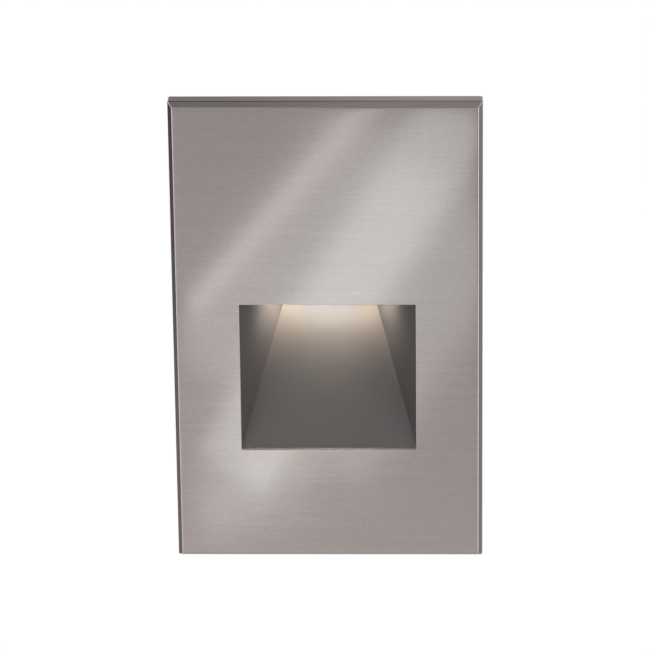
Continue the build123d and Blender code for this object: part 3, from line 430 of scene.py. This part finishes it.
# LED board: a white-lacquered aluminium board with six warm LEDs, their connector and two small screws.
# It hangs under the heat sink's plate with a grey thermal pad between.
dress(grainy("white_lacquer", (0.74, 0.74, 0.72), (0.8, 0.8, 0.78), (0.3, 0.4)), "led_board")
phosphor, tree, sockets = material("led_phosphor", roughness=0.35, emission_strength=2.0)
spot = node(tree, "TexCoord").outputs["Object"]
mottle = node(tree, "TexNoise", {"Vector": spot, "Scale": 1800.0}).outputs["Fac"]
tree.links.new(blended(tree, mottle, (0.85, 0.55, 0.08, 1), (0.95, 0.68, 0.16, 1)), sockets["Base Color"])
tree.links.new(blended(tree, mottle, (1.0, 0.78, 0.5, 1), (1.0, 0.86, 0.62, 1)), sockets["Emission Color"])
dress(phosphor, "led_chips")
nylon = grainy("nylon", (0.68, 0.67, 0.6), (0.76, 0.75, 0.68), (0.35, 0.45), size=1500.0)
dress(nylon, "led_connector", "output_header")
for name, dark, light in (
    ("thermal_pad", (0.30, 0.31, 0.33), (0.37, 0.38, 0.40)),
    ("gap_pad", (0.42, 0.30, 0.36), (0.52, 0.38, 0.44)),
):
    dress(grainy(name, dark, light, (0.6, 0.75), relief=0.00004), name)

# Heat sink, bracket and lens retainer: extruded aluminium, a zinc-plated steel strap with the faint clouded
# flowers of its plating, and a pressed steel frame. The screws' machined steel is made with them.
extruded, zinc, pressed, machined = (
    grainy(name, dark, light, rough, size=size, clouds=clouds, metallic=1.0)
    for name, dark, light, rough, size, clouds in (
        ("extruded_aluminium", (0.55, 0.56, 0.57), (0.66, 0.67, 0.68), (0.28, 0.4), 900.0, 60.0),
        ("zinc_steel", (0.50, 0.51, 0.52), (0.62, 0.63, 0.63), (0.25, 0.42), 1600.0, 220.0),
        ("pressed_steel", (0.46, 0.46, 0.46), (0.56, 0.56, 0.56), (0.3, 0.42), 1200.0, 60.0),
        ("stainless_screw", (0.5, 0.49, 0.48), (0.62, 0.61, 0.6), (0.2, 0.34), 2200.0, 60.0),
    )
)
dress(extruded, "heat_sink")
dress(zinc, "mounting_bracket")
dress(pressed, "lens_retainer")

# Small screws: machined stainless steel, bright and finely grained, for the well, the housing, the lens
# retainer, the heat sink and the boards. The ground screw is lacquered green.
dress(machined, "well_screws", "housing_screws", "retainer_screws")
dress(machined, "sink_screws", "led_screws", "board_screws")
dress(
    grainy("ground_screw", (0.05, 0.22, 0.09), (0.08, 0.3, 0.13), (0.3, 0.45), size=1500.0, metallic=0.6),
    "ground_screw",
)


def threaded(name, outline, pitch, start, end, depth, origin, inwards, around=28, rings_a_turn=8):
    """A screw turned from (distance, radius) points, with a thread from start to end along its axis.

    The thread lowers the radius by depth times a triangle wave of distance / pitch - angle / 2 pi, which
    fades out over the first and the last pitch. The axis runs along Y if inwards, and along Z if not.
    """
    outline = np.asarray(outline)
    turns = np.linspace(start, end, int((end - start) / pitch * rings_a_turn) + 1)[1:-1]
    along = np.concatenate([outline[:, 0], turns])
    radius = np.concatenate([outline[:, 1], np.interp(turns, outline[:, 0], outline[:, 1])])
    order = np.argsort(along, kind="stable")
    along, radius = along[order, None], radius[order, None]
    angle = np.arange(around)[None, :] * 2 * pi / around
    wave = np.abs((along / pitch - angle / (2 * pi)) % 1 - 0.5) * 2
    radius = radius - depth * wave * np.clip(np.minimum(along - start, end - along) / pitch, 0, 1)
    rings = np.stack([radius * np.cos(angle), radius * np.sin(angle), along + 0 * angle], axis=2)
    if inwards:
        rings = rings[:, :, [0, 2, 1]]
    return carried(name, rings + origin, capped=True)


# Box screws: two number 6 screws, 32 threads to the inch, zinc plated, with slotted pan heads. A thin neck
# under the head keeps them captive in the bracket's slots. Distances run from the head's top.
box_screw_z, head_top, head_radius, neck_radius, shank_radius = 0.04167, -0.0037, 0.00345, 0.0014, 0.00175
head_height, neck_end, thread_start, thread_end, tip = 0.0022, 0.0042, 0.0044, 0.0208, 0.0212
box_screw_pitch, box_thread_depth = 0.000794, 0.0003
head_edge, neck_edge, shank_edge = 0.0005, 0.00012, 0.0001
slot_reach, slot_half_width, slot_depth, slot_margin = 0.0036, 0.0004, 0.0009, 0.0001
box_screw_outline = rounded(
    [
        (0, 0),
        (0, head_radius),
        (head_height, head_radius),
        (head_height, neck_radius),
        (neck_end, neck_radius),
        (thread_start, shank_radius),
        (thread_end, shank_radius),
        (tip, neck_radius),
    ],
    [head_edge, neck_edge] + [shank_edge] * 4,
)[1:]
for name, z in (("box_screw_top", box_screw_z), ("box_screw_bottom", -box_screw_z)):
    box_screw = threaded(
        name,
        box_screw_outline,
        box_screw_pitch,
        thread_start,
        thread_end,
        box_thread_depth,
        [0, head_top, z],
        inwards=True,
    )
    slot = block(
        "slot",
        (-slot_reach, head_top - slot_margin, z - slot_half_width),
        (slot_reach, head_top + slot_depth, z + slot_half_width),
        sharp_edge,
    )
    cut(box_screw, [slot])
    evenly_shaded(box_screw)
    box_screw.data.materials.clear()
    box_screw.data.materials.append(zinc)
    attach(box_screw, "base")
    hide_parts("box_screws")

# Set screws: two M3 stainless grub screws, 6 mm long, under the plate, each with a 1.5 mm hexagon socket in
# its foot. Distances run upwards from the foot.
set_screw_foot, set_screw_length, set_screw_radius, set_screw_pitch = -0.0633, 0.006, 0.0015, 0.0005
foot_radius, top_radius, foot_chamfer, top_chamfer = 0.0012, 0.0011, 0.0003, 0.0004
set_thread_start, set_thread_end, set_thread_depth = 0.0001, 0.0058, 0.0002
socket_radius, socket_depth, socket_margin = 0.00075 / cos(pi / 6), 0.002, 0.001
set_screw_outline = [
    (0, foot_radius),
    (foot_chamfer, set_screw_radius),
    (set_screw_length - top_chamfer, set_screw_radius),
    (set_screw_length, top_radius),
]
for side, x in (("left", -set_screw_x), ("right", set_screw_x)):
    foot = np.array([x, set_screw_y, set_screw_foot])
    set_screw = threaded(
        "set_screw_" + side + "_threaded",
        set_screw_outline,
        set_screw_pitch,
        set_thread_start,
        set_thread_end,
        set_thread_depth,
        foot,
        inwards=False,
    )
    socket_ends = foot - [0, 0, socket_margin], foot + [0, 0, socket_depth]
    cut(set_screw, [bar("socket", socket_radius, *socket_ends, 6)])
    evenly_shaded(set_screw)
    set_screw.data.materials.clear()
    set_screw.data.materials.append(machined)
    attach(set_screw, side + "_screw")
    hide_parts("set_screw_" + side)

# Housing and back cover: die-cast aluminium, powder-coated dark grey with a fine even texture. Four long
# screws hold them, from the back cover into the light well's bosses.
powder = grainy(
    "housing_paint", (0.075, 0.075, 0.078), (0.10, 0.10, 0.103), (0.5, 0.62), size=2600.0, relief=0.00005
)
dress(powder, "housing", "back_cover")

# Seals: closed-cell foam behind the faceplate and round the opening, silicone rings between the castings
# and at the lens, and a moulded rubber grommet where the supply leads come in.
foam = grainy("foam", (0.025, 0.025, 0.026), (0.05, 0.05, 0.05), (0.85, 0.95), size=1400.0, relief=0.00012)
dress(foam, "wall_gasket", "opening_seal")
silicone = grainy("silicone", (0.33, 0.33, 0.34), (0.4, 0.4, 0.41), (0.45, 0.6), size=900.0)
dress(silicone, "housing_seal", "back_seal", "lens_seal")
dress(grainy("rubber", (0.02, 0.02, 0.02), (0.035, 0.035, 0.035), (0.6, 0.75), size=1200.0), "lead_grommet")

# Driver: a green circuit board with its parts, and the fish-paper sheet behind it. All of it is closed in
# by the housing, so each part has the plain finish of its kind.
for name, dark, light, rough, size, nodes in (
    ("solder_mask", (0.02, 0.13, 0.06), (0.03, 0.17, 0.08), (0.25, 0.35), 700.0, ["driver_board"]),
    ("fish_paper", (0.42, 0.36, 0.26), (0.5, 0.43, 0.32), (0.7, 0.85), 1200.0, ["insulator_sheet"]),
    (
        "ferrite",
        (0.05, 0.05, 0.055),
        (0.08, 0.08, 0.085),
        (0.5, 0.65),
        3000.0,
        ["transformer_core", "inductor"],
    ),
    ("yellow_tape", (0.62, 0.46, 0.08), (0.7, 0.54, 0.12), (0.3, 0.4), 500.0, ["transformer_coil"]),
    (
        "capacitor_sleeve",
        (0.02, 0.03, 0.07),
        (0.03, 0.05, 0.1),
        (0.25, 0.35),
        800.0,
        ["input_capacitor", "output_capacitor"],
    ),
    ("film_box", (0.55, 0.42, 0.08), (0.62, 0.48, 0.1), (0.35, 0.45), 3000.0, ["film_capacitor"]),
    (
        "fuse_case",
        (0.03, 0.03, 0.03),
        (0.05, 0.05, 0.05),
        (0.3, 0.4),
        3000.0,
        ["fuse", "rectifier", "driver_chip"],
    ),
    ("varistor_coat", (0.05, 0.12, 0.35), (0.07, 0.16, 0.42), (0.3, 0.45), 3000.0, ["varistor"]),
    ("lead_red", (0.5, 0.03, 0.02), (0.6, 0.05, 0.03), (0.35, 0.45), 3000.0, ["led_lead_positive"]),
    ("lead_black", (0.02, 0.02, 0.02), (0.035, 0.035, 0.035), (0.35, 0.45), 3000.0, ["led_lead_negative"]),
):
    dress(grainy(name, dark, light, rough, size=size), *nodes)

# Ground: a pale floor well below the light, lifted towards white for the camera. In reflections it grows
# paler from the front right to the back left. It still takes the light's shadow.
floor_level, floor_width, floor_thickness, floor_corner = -0.32, 8.0, 0.01, 0.1
fade_direction, fade_start, fade_end, fade_share, floor_lift = (-1.25, 1.0, 0.0), -1.05, 0.14, 0.89, 0.62
floor_depths = np.array([0.0, -floor_thickness])
floor_rings = rectangle_rings(floor_width, floor_width, floor_corner, 0.0, floor_depths)[:, :, [0, 2, 1]]
floor = carried("floor", floor_rings + [0, 0, floor_level], capped=True)


def seen_directly(tree, rays):
    """One for the camera's rays and through glass, and zero for the rest."""
    either = {0: rays["Is Camera Ray"], 1: rays["Is Transmission Ray"]}
    return node(tree, "Math", either, operation="MAXIMUM").outputs[0]


pale, tree, sockets = material("pale_floor", roughness=0.9)
spot = node(tree, "TexCoord").outputs["Object"]
cloudy = node(tree, "TexNoise", {"Vector": spot, "Scale": 3.0}).outputs["Fac"]
tree.links.new(blended(tree, cloudy, (0.80, 0.80, 0.80, 1), (0.84, 0.84, 0.84, 1)), sockets["Base Color"])
nearness = node(tree, "VectorMath", {0: spot, 1: fade_direction}, operation="DOT_PRODUCT").outputs["Value"]
fading = {"From Min": fade_start, "From Max": fade_end, "To Min": 0.0, "To Max": fade_share}
behind = node(tree, "MapRange", {"Value": nearness, **fading}).outputs["Result"]
rays = node(tree, "LightPath").outputs
mirrored_ray = node(tree, "Math", {0: rays["Is Glossy Ray"], 1: behind}, operation="MULTIPLY").outputs[0]
shown = node(tree, "Math", {0: seen_directly(tree, rays), 1: mirrored_ray}, operation="MAXIMUM").outputs[0]
lift = node(tree, "Math", {0: shown, 1: floor_lift}, operation="MULTIPLY").outputs[0]
glow = node(tree, "Emission", {"Strength": lift})
both = node(tree, "AddShader", {0: tree.nodes["Principled BSDF"].outputs[0], 1: glow.outputs[0]})
tree.links.new(both.outputs[0], tree.nodes["Material Output"].inputs["Surface"])
floor.data.materials.append(pale)

# Sky: plain white to the camera. In reflections it is pale at the horizon and greyer overhead, where a
# studio's ceiling would be, and as light it is even.
horizon_shade, ceiling_shade, lower_shade, lower_height, even_light = 0.9, 0.44, 0.47, 0.35, 0.5
world = bpy.data.worlds.new("studio")
bpy.context.scene.world = world
world.use_nodes = True
tree = world.node_tree
height = node(tree, "SeparateXYZ", {0: node(tree, "TexCoord").outputs["Generated"]}).outputs["Z"]
ceiling = node(tree, "ValToRGB", {0: height})
shades = ceiling.color_ramp.elements
shades[0].color = [horizon_shade] * 3 + [1]
shades[1].color = [ceiling_shade] * 3 + [1]
shades.new(lower_height).color = [lower_shade] * 3 + [1]
rays = node(tree, "LightPath").outputs
unseen = {0: rays["Is Glossy Ray"], 2: even_light, 3: ceiling.outputs["Color"]}
unseen_sky = node(tree, "Mix", unseen).outputs[0]
strength = node(tree, "Mix", {0: seen_directly(tree, rays), 2: unseen_sky, 3: 1.0}).outputs[0]
tree.links.new(strength, tree.nodes["Background"].inputs["Strength"])
tree.nodes["Background"].inputs["Color"].default_value = (1, 1, 1, 1)

# Cards: plain grey cards beside, over, under and behind the light, which show only in reflections. They draw
# the plate's bevels, and two bright ones high at the sides light up the mitres of its top corners.
card_thickness, side_flag_x, left_glint_x, right_glint_x = [0.002, 0.001, -0.002], 0.32, -0.33, 0.36
glint_shade = 3.2


def flag(name, corners, shades, axis=None, reach=None):
    """A card of one shade, or going from the first shade to the second along an axis, over this reach."""
    outline = np.array(corners)
    card = carried(name, np.stack([outline, outline + card_thickness]), capped=True)
    finish, tree, _ = material(name)
    shade = shades
    if axis:
        along = node(tree, "SeparateXYZ", {0: node(tree, "TexCoord").outputs["Object"]}).outputs[axis]
        ends = {"From Min": reach[0], "From Max": reach[1], "To Min": shades[0], "To Max": shades[1]}
        shade = node(tree, "MapRange", {"Value": along, **ends}).outputs["Result"]
    glow = node(tree, "Emission", {"Strength": shade})
    tree.links.new(glow.outputs[0], tree.nodes["Material Output"].inputs["Surface"])
    card.data.materials.append(finish)
    card.visible_camera = card.visible_diffuse = card.visible_transmission = card.visible_shadow = False


def side_card(x, front=-0.1, back=0.35, foot=-0.3, head=0.2):
    """The corners of a card that stands at the light's side."""
    return [(x, front, foot), (x, back, foot), (x, back, head), (x, front, head)]


def level_card(width, front, back, z):
    """The corners of a card that lies level."""
    return [(-width / 2, front, z), (width / 2, front, z), (width / 2, back, z), (-width / 2, back, z)]


def back_card(width, y, foot, head):
    """The corners of a card that stands behind the light."""
    return [(-width / 2, y, foot), (width / 2, y, foot), (width / 2, y, head), (-width / 2, y, head)]


flag("left_flag", side_card(-side_flag_x), (0.28, 0.10), "Z", (-0.19, -0.06))
flag("right_flag", side_card(side_flag_x), 0.42)
flag("foot_flag", level_card(0.1, -0.05, 0.12, -0.12), 0.62)
flag("head_flag", level_card(0.2, -0.03, 0.055, 0.2), (0.34, 0.47), "X", (-0.03, 0.01))
flag("line_flag", level_card(0.2, 0.06, 0.2, 0.2), (0.05, 0.14), "X", (-0.005, 0.015))
flag("back_flag", back_card(0.2, 0.3, 0.1, 0.4), (0.36, 0.56), "X", (-0.045, 0.02))
for name, x in (("left_glint", left_glint_x), ("right_glint", right_glint_x)):
    flag(name, side_card(x, back=0.12, foot=0.15, head=0.32), glint_shade)


def lamp(name, middle, along, facing, length, width, brightness, colour=(1, 1, 1), spread=pi):
    """A rectangular softbox that the camera doesn't see. Brightness is its radiance, where 1 is white, and
    its power is pi times that and its area."""
    light = bpy.data.lights.new(name, "AREA")
    light.shape, light.size, light.size_y, light.spread = "RECTANGLE", length, width, spread
    light.energy, light.color = brightness * pi * length * width, colour
    out = Vector(facing).normalized()
    across = (Vector(along) - out * Vector(along).dot(out)).normalized()
    made = bpy.data.objects.new(name, light)
    made.matrix_world = (
        Matrix.Translation(middle) @ Matrix(np.column_stack([across, (-out).cross(across), -out])).to_4x4()
    )
    made.visible_camera = False
    bpy.context.scene.collection.objects.link(made)


# Softboxes: two large ones high in front, left and right, give even light, and two low ones at the sides
# light the plate's side bevels.
lamp("key", (-0.9, -1.5, 1.2), (1, -0.5, 0), (0.9, 1.5, -1.2), 1.2, 0.9, 2.4)
lamp("fill", (1.1, -1.3, 1.0), (1, 0.8, 0), (-1.1, 1.3, -1.0), 1.0, 0.8, 1.3)
lamp("left_edge", (-0.36, -0.25, -0.08), (0, 0, 1), (0.36, 0.25, 0.05), 0.45, 0.12, 0.8)
lamp("right_edge", (0.37, -0.23, -0.08), (0, 0, 1), (-0.37, 0.23, 0.05), 0.45, 0.18, 2.0)


# Strips: these stand where the camera sees them mirrored in the plate. The narrow one's reflection is the
# upper slanting band, the broad and the wide one's the lower band, and the low one's the pale lower left.
def mirrored(x, z, distance):
    """The point at this distance that the camera sees mirrored in the plate's face at (x, z): on the line
    from the camera through that spot, with its y turned round there."""
    at = np.array([x, plate_front, z])
    ray = (at - camera_place) / np.linalg.norm(at - camera_place)
    return at + ray * [1, -1, 1] * distance


def strip(name, start, end, distance, width, brightness, colour=(1, 1, 1)):
    """A strip lamp whose mirror image runs from start to end on the plate, as (x, z) points."""
    first, last = mirrored(*start, distance), mirrored(*end, distance)
    middle = (first + last) / 2
    length = np.linalg.norm(last - first)
    target = np.array([(start[0] + end[0]) / 2, plate_front, (start[1] + end[1]) / 2])
    lamp(name, middle, last - first, target - middle, length, width, brightness, colour)


cool_white = (0.88, 1.0, 0.99)
strip("narrow_strip", (0.0131, 0.0667), (-0.0338, 0.0088), 0.07, 0.0050, 0.54)
strip("broad_strip", (0.0337, 0.0608), (-0.0234, -0.0350), 0.085, 0.0216, 0.54, cool_white)
strip("wide_strip", (0.0275, 0.0430), (-0.0156, -0.0202), 0.13, 0.0665, 0.335, cool_white)
strip("low_strip", (-0.0330, -0.0505), (-0.0045, -0.0345), 0.15, 0.0130, 0.56, cool_white)

# Beam: the LEDs' light as the lens throws it, most of it back and down on to the top of the sloping panel,
# whitest in the middle, and some of it on to the well's side walls.
beam_height, beam_width = 0.0084, 0.004
for name, x, y, outwards, tilt, length, spread, brightness, colour in (
    ("middle_beam", 0.0, 0.011, 0.0, 20, 0.014, 80, 5.3, (0.68, 0.80, 1.0)),
    ("deep_beam", 0.0, 0.007, 0.0, 20, 0.023, 80, 7.2, (1.0, 0.84, 0.63)),
    ("left_beam", -0.0085, 0.011, 0.0, 20, 0.006, 80, 2.8, (0.94, 1.0, 0.72)),
    ("right_beam", 0.0085, 0.011, 0.0, 20, 0.006, 80, 3.4, (1.0, 0.70, 0.35)),
    ("left_wash", -0.004, 0.009, -1.6, 20, 0.006, 80, 31.6, (1.0, 0.94, 0.84)),
    ("right_wash", 0.004, 0.009, 1.6, 20, 0.006, 80, 25.7, (1.0, 0.90, 0.79)),
    ("left_corner", -0.009, 0.012, -0.6, 15, 0.004, 90, 19.7, (1.0, 0.73, 0.56)),
    ("right_corner", 0.009, 0.012, 0.6, 15, 0.004, 90, 7.8, (1.0, 0.98, 0.81)),
):
    facing = (outwards, sin(radians(tilt)), -cos(radians(tilt)))
    place = (x, y, beam_height)
    lamp(name, place, (1, 0, 0), facing, length, beam_width, brightness, colour, radians(spread))
